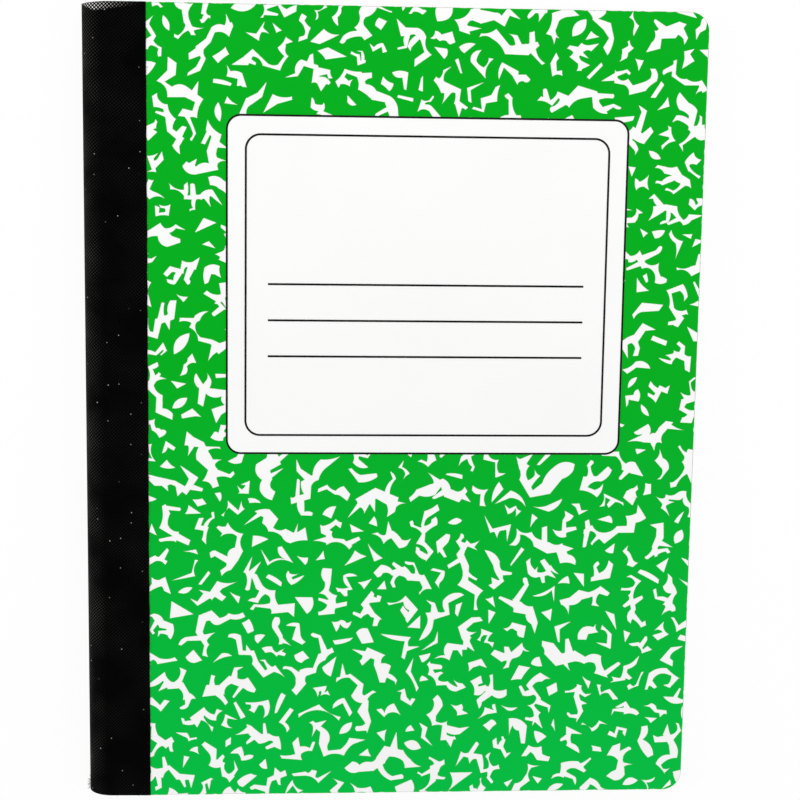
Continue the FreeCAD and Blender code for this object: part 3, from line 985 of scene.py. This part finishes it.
def leafTree():
    # Folded sheets nested in one another, with rounded fore-edge corners
    tree, given, out = newGroup(
        "foldedLeaves",
        "GeometryNodeTree",
        [("Sheets", "NodeSocketInt", 50), ("Block Thickness", "NodeSocketFloat", 8.4 * mm),
         ("Leaf Thickness", "NodeSocketFloat", 0.07 * mm), ("Middle", "NodeSocketFloat", middle),
         ("Hinge Line", "NodeSocketFloat", 0.0), ("Fore Edge", "NodeSocketFloat", 0.1),
         ("Half Height", "NodeSocketFloat", 0.12), ("Corner Radius", "NodeSocketFloat", 6 * mm),
         ("Unevenness", "NodeSocketFloat", 0.0), ("Ragged", "NodeSocketFloat", 0.0),
         ("Cap Dip", "NodeSocketFloat", 0.0), ("Cap Span", "NodeSocketFloat", 9 * mm),
         ("Seed", "NodeSocketInt", 0), ("Face", "NodeSocketMaterial", None),
         ("Cut Edge", "NodeSocketMaterial", None)],
        [("Geometry", "NodeSocketGeometry")],
    )
    foldShare, runShare, columns = 0.4, 0.1, 41
    points = addNode(tree, "GeometryNodeMeshLine", {"Count": given["Sheets"], "Offset": (0, 0, 0)})
    numbered = addNode(tree, "GeometryNodeStoreNamedAttribute",
                       {"Geometry": points.outputs["Mesh"], "Name": "sheet"}, data_type="INT", domain="POINT")
    tree.links.new(addNode(tree, "GeometryNodeInputIndex").outputs[0], numbered.inputs["Value"])
    grid = addNode(tree, "GeometryNodeMeshGrid", {"Size X": 2.0, "Size Y": 2.0, "Vertices X": columns,
                                                  "Vertices Y": 3})
    copies = addNode(tree, "GeometryNodeInstanceOnPoints",
                     {"Points": numbered.outputs["Geometry"], "Instance": grid.outputs["Mesh"]})
    sheets = addNode(tree, "GeometryNodeRealizeInstances", {"Geometry": copies.outputs["Instances"]})
    number = addNode(tree, "GeometryNodeInputNamedAttribute", {"Name": "sheet"}, data_type="INT").outputs[0]

    def own(low, high, offset):
        return chance(tree, calc(tree, "ADD", given["Seed"], offset), low, high, number)

    pitch = calc(tree, "DIVIDE", calc(tree, "DIVIDE", given["Block Thickness"], 2.0), given["Sheets"])
    radius = calc(tree, "MULTIPLY", calc(tree, "ADD", number, 0.5), pitch)
    radius = calc(tree, "SUBTRACT", radius, calc(tree, "MULTIPLY", given["Leaf Thickness"], 0.5))
    radius = calc(tree, "ADD", radius, calc(tree, "MULTIPLY", given["Unevenness"], own(-1.0, 1.0, 0)))
    spot = addNode(tree, "GeometryNodeInputPosition").outputs[0]
    place = addNode(tree, "ShaderNodeSeparateXYZ", {"Vector": spot})
    side = calc(tree, "SIGN", place.outputs["X"])
    along = calc(tree, "ABSOLUTE", place.outputs["X"])
    foldAngle = ramp(tree, along, 0.0, foldShare, 0.0, math.pi / 2)
    run = ramp(tree, along, foldShare, foldShare + runShare)
    cornerAngle = ramp(tree, along, foldShare + runShare, 1.0, 0.0, math.pi / 2)
    corner = given["Corner Radius"]
    flat = calc(tree, "SUBTRACT", calc(tree, "SUBTRACT", given["Fore Edge"], given["Hinge Line"]), corner)
    flat = calc(tree, "SUBTRACT", flat, calc(tree, "MULTIPLY", given["Ragged"], own(0.0, 1.0, 1)))
    behind = calc(tree, "MULTIPLY", radius, calc(tree, "COSINE", foldAngle))
    x = calc(tree, "SUBTRACT", given["Hinge Line"], behind)
    x = calc(tree, "ADD", x, calc(tree, "MULTIPLY", run, flat))
    x = calc(tree, "ADD", x, calc(tree, "MULTIPLY", corner, calc(tree, "SINE", cornerAngle)))
    cut = calc(tree, "MULTIPLY", corner, calc(tree, "SUBTRACT", 1.0, calc(tree, "COSINE", cornerAngle)))
    short = calc(tree, "MULTIPLY", given["Ragged"], own(0.0, 1.0, 2))
    reach = calc(tree, "SUBTRACT", given["Half Height"], short)
    fromSpine = calc(tree, "SUBTRACT", x, given["Hinge Line"])
    fromSpine = calc(tree, "ADD", fromSpine, calc(tree, "MULTIPLY", given["Block Thickness"], 0.5))
    dip = ramp(tree, calc(tree, "DIVIDE", fromSpine, given["Cap Span"]), 0.0, 1.0, 1.0, 0.0)
    dip = calc(tree, "MULTIPLY", calc(tree, "MULTIPLY", dip, dip), given["Cap Dip"])
    cut = calc(tree, "ADD", cut, dip)
    y = calc(tree, "MULTIPLY", place.outputs["Y"], calc(tree, "SUBTRACT", reach, cut))
    z = calc(tree, "MULTIPLY", calc(tree, "MULTIPLY", side, radius), calc(tree, "SINE", foldAngle))
    z = calc(tree, "ADD", given["Middle"], z)
    where = addNode(tree, "ShaderNodeCombineXYZ", {"X": x, "Y": y, "Z": z})
    bent = addNode(tree, "GeometryNodeSetPosition",
                   {"Geometry": sheets.outputs["Geometry"], "Position": where.outputs["Vector"]})
    thick = addNode(tree, "GeometryNodeExtrudeMesh",
                    {"Mesh": bent.outputs["Geometry"], "Offset Scale": given["Leaf Thickness"],
                     "Individual": False})
    inner = addNode(tree, "GeometryNodeFlipFaces", {"Mesh": bent.outputs["Geometry"]})
    both = addNode(tree, "GeometryNodeJoinGeometry")
    tree.links.new(thick.outputs["Mesh"], both.inputs[0])
    tree.links.new(inner.outputs["Mesh"], both.inputs[0])
    closed = addNode(tree, "GeometryNodeMergeByDistance",
                     {"Geometry": both.outputs["Geometry"], "Distance": 0.001 * mm})
    whole = addNode(tree, "GeometryNodeRealizeInstances", {"Geometry": closed.outputs["Geometry"]})
    faced = addNode(tree, "GeometryNodeSetMaterial",
                    {"Geometry": whole.outputs["Geometry"], "Material": given["Face"]})
    trimmed = addNode(tree, "GeometryNodeSetMaterial",
                      {"Geometry": faced.outputs["Geometry"], "Selection": thick.outputs["Side"],
                       "Material": given["Cut Edge"]})
    tree.links.new(trimmed.outputs["Geometry"], out["Geometry"])
    return tree


def leafBlock():
    settings = dict(leaves)
    settings.update({
        "Block Thickness": 2 * (blockTop - middle),
        "Middle": middle,
        "Hinge Line": hingeLine,
        "Fore Edge": foreEdge,
        "Half Height": halfHeight,
        "Corner Radius": cover["cornerRadius"],
        "Cap Dip": fold["capDip"],
        "Face": leafFace,
        "Cut Edge": leafEdge,
    })
    piece = treeMesh("folded_leaves", leafTree(), settings)
    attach(piece, "pages")
    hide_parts("page_block")
    print("leaves folded:", len(piece.data.polygons), "faces")


leafBlock()


# Lock stitch along the fold: two plied threads that catch each other in every needle hole

stitch = {  # inputs of the tree below
    "Stitches": 22,
    "Pitch": 11 * mm,
    "Leg": 0.7 * mm,  # how wide the thread's dip into a hole is
    "Ply Radius": 0.13 * mm,
    "Twist": 2.6 * mm,
}
stitchSteps = 24  # path points for each stitch
plies = {"count": 3, "corners": 7, "apart": 1.08}  # how far each ply lies from the middle, in its own radius


def stitchTree():
    tree, given, out = newGroup(
        "lockStitch",
        "GeometryNodeTree",
        [("Stitches", "NodeSocketInt", 22), ("Pitch", "NodeSocketFloat", 11 * mm),
         ("Run", "NodeSocketFloat", 0.0), ("Catch", "NodeSocketFloat", 0.0),
         ("Leg", "NodeSocketFloat", 1 * mm), ("Height", "NodeSocketFloat", middle),
         ("Ply Radius", "NodeSocketFloat", 0.1 * mm),
         ("Twist", "NodeSocketFloat", 2 * mm), ("Thread", "NodeSocketMaterial", None)],
        [("Geometry", "NodeSocketGeometry")],
    )
    count = calc(tree, "MULTIPLY", given["Stitches"], float(stitchSteps))
    line = addNode(tree, "GeometryNodeMeshLine",
                   {"Count": calc(tree, "ADD", count, 1.0), "Offset": (0, 0, 0)})
    number = addNode(tree, "GeometryNodeInputIndex").outputs[0]
    y = calc(tree, "MULTIPLY", calc(tree, "SUBTRACT", number, calc(tree, "MULTIPLY", count, 0.5)),
             calc(tree, "DIVIDE", given["Pitch"], float(stitchSteps)))
    # Distance to the nearest hole; the holes lie half a pitch from the middle
    half = calc(tree, "MULTIPLY", given["Pitch"], 0.5)
    fromHole = calc(tree, "WRAP", calc(tree, "ADD", y, half), half, calc(tree, "MULTIPLY", half, -1.0))
    away = calc(tree, "DIVIDE", calc(tree, "ABSOLUTE", fromHole), given["Leg"])
    near = ramp(tree, away, 0.0, 1.0, 1.0, 0.0)
    dip = calc(tree, "MULTIPLY", calc(tree, "SUBTRACT", given["Catch"], given["Run"]), near)
    x = calc(tree, "ADD", given["Run"], dip)
    where = addNode(tree, "ShaderNodeCombineXYZ", {"X": x, "Y": y, "Z": given["Height"]})
    laid = addNode(tree, "GeometryNodeSetPosition",
                   {"Geometry": line.outputs["Mesh"], "Position": where.outputs["Vector"]})
    path = addNode(tree, "GeometryNodeMeshToCurve", {"Mesh": laid.outputs["Geometry"]})
    along = addNode(tree, "GeometryNodeSplineParameter").outputs["Length"]
    tilt = calc(tree, "MULTIPLY", calc(tree, "DIVIDE", along, given["Twist"]), math.tau)
    turned = addNode(tree, "GeometryNodeSetCurveTilt", {"Curve": path.outputs["Curve"], "Tilt": tilt})
    strand = addNode(tree, "GeometryNodeJoinGeometry")
    for k in range(plies["count"]):
        ring = addNode(tree, "GeometryNodeCurvePrimitiveCircle",
                       {"Resolution": plies["corners"], "Radius": given["Ply Radius"]})
        angle = math.tau * k / plies["count"]
        away = addNode(tree, "ShaderNodeVectorMath", operation="SCALE")
        away.inputs[0].default_value = (plies["apart"] * math.cos(angle), plies["apart"] * math.sin(angle), 0)
        tree.links.new(given["Ply Radius"], away.inputs["Scale"])
        moved = addNode(tree, "GeometryNodeTransform",
                        {"Geometry": ring.outputs["Curve"], "Translation": away.outputs["Vector"]})
        tree.links.new(moved.outputs["Geometry"], strand.inputs[0])
    spun = addNode(tree, "GeometryNodeCurveToMesh",
                   {"Curve": turned.outputs["Curve"], "Profile Curve": strand.outputs["Geometry"],
                    "Fill Caps": True})
    loose = addNode(tree, "GeometryNodeRealizeInstances", {"Geometry": spun.outputs["Mesh"]})
    dyed = addNode(tree, "GeometryNodeSetMaterial",
                   {"Geometry": loose.outputs["Geometry"], "Material": given["Thread"]})
    tree.links.new(dyed.outputs["Geometry"], out["Geometry"])
    return tree


def sewnFold():
    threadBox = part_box("sewing_thread")
    catch = (threadBox[0].x + threadBox[1].x) / 2
    plyReach = 2.1 * stitch["Ply Radius"]
    tree = stitchTree()
    runs = {"needle_thread": threadBox[0].x + plyReach, "bobbin_thread": threadBox[1].x - plyReach}
    for name, run in runs.items():
        settings = dict(stitch)
        settings.update({"Run": run, "Catch": catch, "Height": middle, "Thread": cotton})
        piece = treeMesh(name, tree, settings)
        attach(piece, "pages")
        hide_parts("sewing_thread")
        print(name, len(piece.data.polygons), "faces")


sewnFold()


# Ruling on the first and last page

rules = {  # inputs of the tree below
    "Rules": 23,
    "Pitch": 8.7 * mm,
    "First Rule": 33 * mm,  # from the head
    "Margin": 31.75 * mm,  # from the fold
    "Line Width": 0.28 * mm,
    "Line Depth": 0.03 * mm,
}


def rulingTree():
    tree, given, out = newGroup(
        "pageRuling",
        "GeometryNodeTree",
        [("Rules", "NodeSocketInt", 23), ("Pitch", "NodeSocketFloat", 8.7 * mm),
         ("First Rule", "NodeSocketFloat", 0.03), ("Margin", "NodeSocketFloat", 0.03),
         ("Line Width", "NodeSocketFloat", 0.3 * mm), ("Line Depth", "NodeSocketFloat", 0.02 * mm),
         ("Fold Side", "NodeSocketFloat", 0.0), ("Fore Edge", "NodeSocketFloat", 0.1),
         ("Half Height", "NodeSocketFloat", 0.12), ("Height", "NodeSocketFloat", 0.0),
         ("Rule Ink", "NodeSocketMaterial", None), ("Margin Ink", "NodeSocketMaterial", None)],
        [("Geometry", "NodeSocketGeometry")],
    )
    length = calc(tree, "SUBTRACT", given["Fore Edge"], given["Fold Side"])
    bar = addNode(tree, "ShaderNodeCombineXYZ",
                  {"X": length, "Y": given["Line Width"], "Z": given["Line Depth"]})
    rule = addNode(tree, "GeometryNodeMeshCube", {"Size": bar.outputs["Vector"]})
    centre = calc(tree, "MULTIPLY", calc(tree, "ADD", given["Fore Edge"], given["Fold Side"]), 0.5)
    first = calc(tree, "SUBTRACT", given["Half Height"], given["First Rule"])
    start = addNode(tree, "ShaderNodeCombineXYZ", {"X": centre, "Y": first, "Z": given["Height"]})
    step = addNode(tree, "ShaderNodeCombineXYZ", {"Y": calc(tree, "MULTIPLY", given["Pitch"], -1.0)})
    points = addNode(tree, "GeometryNodeMeshLine",
                     {"Count": given["Rules"], "Start Location": start.outputs["Vector"],
                      "Offset": step.outputs["Vector"]})
    ruled = addNode(tree, "GeometryNodeInstanceOnPoints",
                    {"Points": points.outputs["Mesh"], "Instance": rule.outputs["Mesh"]})
    tall = calc(tree, "MULTIPLY", given["Half Height"], 1.996)  # just short of head and tail
    post = addNode(tree, "ShaderNodeCombineXYZ",
                   {"X": given["Line Width"], "Y": tall, "Z": given["Line Depth"]})
    margin = addNode(tree, "GeometryNodeMeshCube", {"Size": post.outputs["Vector"]})
    marginX = calc(tree, "ADD", given["Fold Side"], given["Margin"])
    lift = calc(tree, "ADD", given["Height"], calc(tree, "MULTIPLY", given["Line Depth"], 0.05))
    beside = addNode(tree, "ShaderNodeCombineXYZ", {"X": marginX, "Z": lift})
    placed = addNode(tree, "GeometryNodeTransform",
                     {"Geometry": margin.outputs["Mesh"], "Translation": beside.outputs["Vector"]})
    named = addNode(tree, "GeometryNodeStoreNamedAttribute",
                    {"Geometry": placed.outputs["Geometry"], "Name": "isMargin", "Value": True},
                    data_type="BOOLEAN", domain="FACE")
    both = addNode(tree, "GeometryNodeJoinGeometry")
    tree.links.new(named.outputs["Geometry"], both.inputs[0])
    tree.links.new(ruled.outputs["Instances"], both.inputs[0])
    whole = addNode(tree, "GeometryNodeRealizeInstances", {"Geometry": both.outputs["Geometry"]})
    inked = addNode(tree, "GeometryNodeSetMaterial",
                    {"Geometry": whole.outputs["Geometry"], "Material": given["Rule Ink"]})
    chosen = addNode(tree, "GeometryNodeInputNamedAttribute", {"Name": "isMargin"}, data_type="BOOLEAN")
    inkedMargin = addNode(tree, "GeometryNodeSetMaterial",
                          {"Geometry": inked.outputs["Geometry"], "Selection": chosen.outputs[0],
                           "Material": given["Margin Ink"]})
    tree.links.new(inkedMargin.outputs["Geometry"], out["Geometry"])
    return tree


def ruledPages():
    tree = rulingTree()
    lift = 0.008 * mm - rules["Line Depth"] / 2  # sunk into the sheet, just proud of it
    for name, side in (("first_page_rules", 1), ("last_page_rules", -1)):
        settings = dict(rules)
        settings.update({
            "Fold Side": hingeLine,
            "Fore Edge": foreEdge - 0.25 * mm,
            "Half Height": halfHeight,
            "Height": middle + side * (blockTop - middle + lift),
            "Rule Ink": blueRule,
            "Margin Ink": redMargin,
        })
        piece = treeMesh(name, tree, settings)
        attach(piece, "pages")
    print("pages ruled")


ruledPages()


# Loose fibres where the cloth was cut: its long edge on each cover, and its ends at the head and tail

fibres = {  # inputs of the tree below
    "Thickness": 0.055 * mm,
    "Shortest": 0.2 * mm,
    "Longest": 0.75 * mm,
    "Spread": 0.9,
    "Curl": 0.35,
    "Seed": 17,
}
fibreGap = {"side": 3.4 * mm, "end": 0.4 * mm}
tuft = {  # worn cloth on the spine near the tail
    "count": 30,
    "along": (0.0, 2.4 * mm),
    "fromTail": (0.8 * mm, 4.4 * mm),
    "grow": 2.3,
}


def fibreTree():
    tree, given, out = newGroup(
        "looseFibres",
        "GeometryNodeTree",
        [("Roots", "NodeSocketGeometry", None), ("Thickness", "NodeSocketFloat", 0.02 * mm),
         ("Shortest", "NodeSocketFloat", 0.2 * mm), ("Longest", "NodeSocketFloat", 0.8 * mm),
         ("Spread", "NodeSocketFloat", 0.8), ("Curl", "NodeSocketFloat", 0.3), ("Seed", "NodeSocketInt", 0),
         ("Fibre", "NodeSocketMaterial", None)],
        [("Geometry", "NodeSocketGeometry")],
    )
    spine = addNode(tree, "GeometryNodeCurvePrimitiveBezierSegment",
                    {"Resolution": 4, "Start": (0, 0, 0), "Start Handle": (0, 0, 0.4), "End": (0, 0, 1)})
    curl = addNode(tree, "ShaderNodeCombineXYZ", {"X": given["Curl"], "Z": 0.6})
    tree.links.new(curl.outputs["Vector"], spine.inputs["End Handle"])
    ring = addNode(tree, "GeometryNodeCurvePrimitiveCircle", {"Resolution": 4, "Radius": 1.0})
    wide = calc(tree, "DIVIDE", given["Thickness"], given["Longest"])
    narrow = addNode(tree, "GeometryNodeSplineParameter").outputs["Factor"]
    taper = calc(tree, "MULTIPLY", wide, ramp(tree, narrow, 0, 1, 1.0, 0.45))
    hair = addNode(tree, "GeometryNodeCurveToMesh",
                   {"Curve": spine.outputs["Curve"], "Profile Curve": ring.outputs["Curve"], "Scale": taper,
                    "Fill Caps": True})
    roots = addNode(tree, "GeometryNodeMeshToPoints", {"Mesh": given["Roots"], "Radius": 0.0001})
    outward = addNode(tree, "GeometryNodeInputNamedAttribute", {"Name": "outward"},
                      data_type="FLOAT_VECTOR").outputs[0]
    grow = addNode(tree, "GeometryNodeInputNamedAttribute", {"Name": "grow"}, data_type="FLOAT").outputs[0]
    low = addNode(tree, "ShaderNodeCombineXYZ")
    high = addNode(tree, "ShaderNodeCombineXYZ")
    for axis, share in (("X", 1.0), ("Y", 1.0), ("Z", 0.25)):  # flatter than wide, to clear the table
        tree.links.new(calc(tree, "MULTIPLY", given["Spread"], -share), low.inputs[axis])
        tree.links.new(calc(tree, "MULTIPLY", given["Spread"], share), high.inputs[axis])
    stray = chance(tree, given["Seed"], low.outputs["Vector"], high.outputs["Vector"], kind="FLOAT_VECTOR")
    way = addNode(tree, "ShaderNodeVectorMath", {0: outward, 1: stray}, operation="ADD")
    facing = addNode(tree, "FunctionNodeAlignRotationToVector", {"Vector": way.outputs["Vector"]}, axis="Z")
    lengths = chance(tree, calc(tree, "ADD", given["Seed"], 1), given["Shortest"], given["Longest"])
    length = calc(tree, "MULTIPLY", lengths, grow)
    planted = addNode(tree, "GeometryNodeInstanceOnPoints",
                      {"Points": roots.outputs["Points"], "Instance": hair.outputs["Mesh"],
                       "Rotation": facing.outputs["Rotation"], "Scale": length})
    grown = addNode(tree, "GeometryNodeRealizeInstances", {"Geometry": planted.outputs["Instances"]})
    dyed = addNode(tree, "GeometryNodeSetMaterial",
                   {"Geometry": grown.outputs["Geometry"], "Material": given["Fibre"]})
    tree.links.new(dyed.outputs["Geometry"], out["Geometry"])
    return tree


def fibreRoots(side, dice):
    # Where fibres leave one half of the tape: (place, outward way, how much longer than most)
    place, thickness = tapeShape(side)
    end = tapeEdge - hingeLine
    start = -(bookTop - middle - thickness / 2) * math.pi / 2
    roots = []

    def root(spot, way, grow):
        here = Vector(place(*spot))
        beyond = Vector(place(*(part + 0.1 * mm * step for part, step in zip(spot, way))))
        roots.append((here, (beyond - here).normalized(), grow))

    for _ in range(round(2 * halfHeight / fibreGap["side"])):
        across = dice.uniform(-1, 1) * (halfHeight - 1 * mm)
        root((end - 0.05 * mm, across, dice.uniform(0.1, 0.45) * thickness), (1, 0, 0.2), 1.0)
    for toward in (-1, 1):
        for _ in range(round((end - start) / fibreGap["end"])):
            along = dice.uniform(start, end)
            root((along, toward * (halfHeight - 0.05 * mm), dice.uniform(-0.1, 0.4) * thickness),
                 (0, toward, 0.1), 0.55)
    for _ in range(tuft["count"]):
        along = start + dice.uniform(*tuft["along"])
        across = dice.uniform(*tuft["fromTail"]) - halfHeight
        root((along, across, 0.48 * thickness), (0.3, -0.4, 1), tuft["grow"] * dice.uniform(0.4, 1))
    return roots


def clothFibres(name, side):
    dice = random.Random(fibres["Seed"] + side)
    roots = fibreRoots(side, dice)
    mesh = bpy.data.meshes.new(name + "_roots")
    mesh.from_pydata([place for place, _, _ in roots], [], [])
    outward = mesh.attributes.new("outward", "FLOAT_VECTOR", "POINT")
    outward.data.foreach_set("vector", [part for _, way, _ in roots for part in way])
    grow = mesh.attributes.new("grow", "FLOAT", "POINT")
    grow.data.foreach_set("value", [more for _, _, more in roots])
    settings = dict(fibres)
    settings["Fibre"] = looseCotton
    piece = treeMesh(name, clothFibreTree, settings, mesh)
    bendWith(piece)
    print(name, len(roots), "fibres")


clothFibreTree = fibreTree()
clothFibres("front_tape_fibres", 1)
clothFibres("back_tape_fibres", -1)


# Camera, lamps and floor

camera = {
    "fromFace": (-37.3 * mm, 86.2 * mm, 552.7 * mm),  # from the middle of the front cover
    "turn": (-8.51, -3.95, 0.82),
    "lens": 81,
    "sensor": 36,
    "near": 0.01,
}


def placeCamera():
    data = bpy.data.cameras.new("camera")
    data.lens = camera["lens"]
    data.sensor_width = camera["sensor"]
    data.clip_start = camera["near"]
    piece = bpy.data.objects.new("camera", data)
    piece.location = Vector((0, 0, bookTop)) + Vector(camera["fromFace"])
    piece.rotation_euler = Euler([math.radians(angle) for angle in camera["turn"]])
    bpy.context.scene.collection.objects.link(piece)
    bpy.context.scene.camera = piece


lamps = {
    "world": 0.44,
    "head": {"place": (-0.1, 0.85, 0.6), "size": (0.9, 0.4), "watts": 4.55},
    "spine": {"place": (-0.95, 0.05, 0.6), "size": (0.4, 0.9), "watts": 4.7},
    "fore": {"place": (0.95, -0.05, 0.6), "size": (0.4, 0.9), "watts": 4.7},
}


def placeLamps():
    for name in ("head", "spine", "fore"):
        wanted = lamps[name]
        data = bpy.data.lights.new(name + "Lamp", "AREA")
        data.shape = "RECTANGLE"
        data.size, data.size_y = wanted["size"]
        data.energy = wanted["watts"]
        piece = bpy.data.objects.new(name + "Lamp", data)
        piece.location = wanted["place"]
        piece.rotation_euler = (-Vector(wanted["place"])).to_track_quat("-Z", "Y").to_euler()
        bpy.context.scene.collection.objects.link(piece)


def cameraShare(tree):
    # 1 for what the camera, a reflection or a clear piece sees directly
    rays = addNode(tree, "ShaderNodeLightPath").outputs
    seen = calc(tree, "MAXIMUM", rays["Is Camera Ray"], rays["Is Glossy Ray"])
    return calc(tree, "MAXIMUM", seen, rays["Is Transmission Ray"])


def whiteWorld():
    world = bpy.data.worlds.new("world")
    world.use_nodes = True
    bpy.context.scene.world = world
    tree = world.node_tree
    shader = tree.nodes["Background"]
    shader.inputs["Color"].default_value = (1, 1, 1, 1)
    strength = ramp(tree, cameraShare(tree), 0, 1, lamps["world"], 1.0)
    tree.links.new(strength, shader.inputs["Strength"])


floor = {
    "half": 6.0,
    "paper": (0.93, 0.93, 0.93, 1),
    "paperShade": (0.915, 0.915, 0.915, 1),
    "patchScale": 8.0,
    "glow": 0.93,  # how much of it the camera sees as plain white; the rest shows the shadow
}


def whiteFloor():
    half = floor["half"]
    material = bpy.data.materials.new("floorPaper")
    material.use_nodes = True
    tree = material.node_tree
    shader = tree.nodes["Principled BSDF"]
    shader.inputs["Roughness"].default_value = 0.9
    place = addNode(tree, "ShaderNodeTexCoord").outputs["Object"]
    found = useGroup(tree, mottle, Vector=place, **{"Patch Scale": floor["patchScale"]})
    color = blendColor(tree, found["Patches"], floor["paper"], floor["paperShade"])
    tree.links.new(color, shader.inputs["Base Color"])
    glow = addNode(tree, "ShaderNodeEmission", {"Color": (1, 1, 1, 1), "Strength": 1.0})
    share = calc(tree, "MULTIPLY", cameraShare(tree), floor["glow"])
    mixed = addNode(tree, "ShaderNodeMixShader", {"Fac": share})
    tree.links.new(shader.outputs[0], mixed.inputs[1])
    tree.links.new(glow.outputs[0], mixed.inputs[2])
    tree.links.new(mixed.outputs[0], tree.nodes["Material Output"].inputs["Surface"])
    corners = [(-half, -half, 0), (half, -half, 0), (half, half, 0), (-half, half, 0)]
    table = meshPiece("floor", corners, [(0, 1, 2, 3)], [material])


placeCamera()
placeLamps()
whiteWorld()
whiteFloor()
bpy.context.scene.view_settings.view_transform = "Standard"
print("camera, lamps and floor placed")
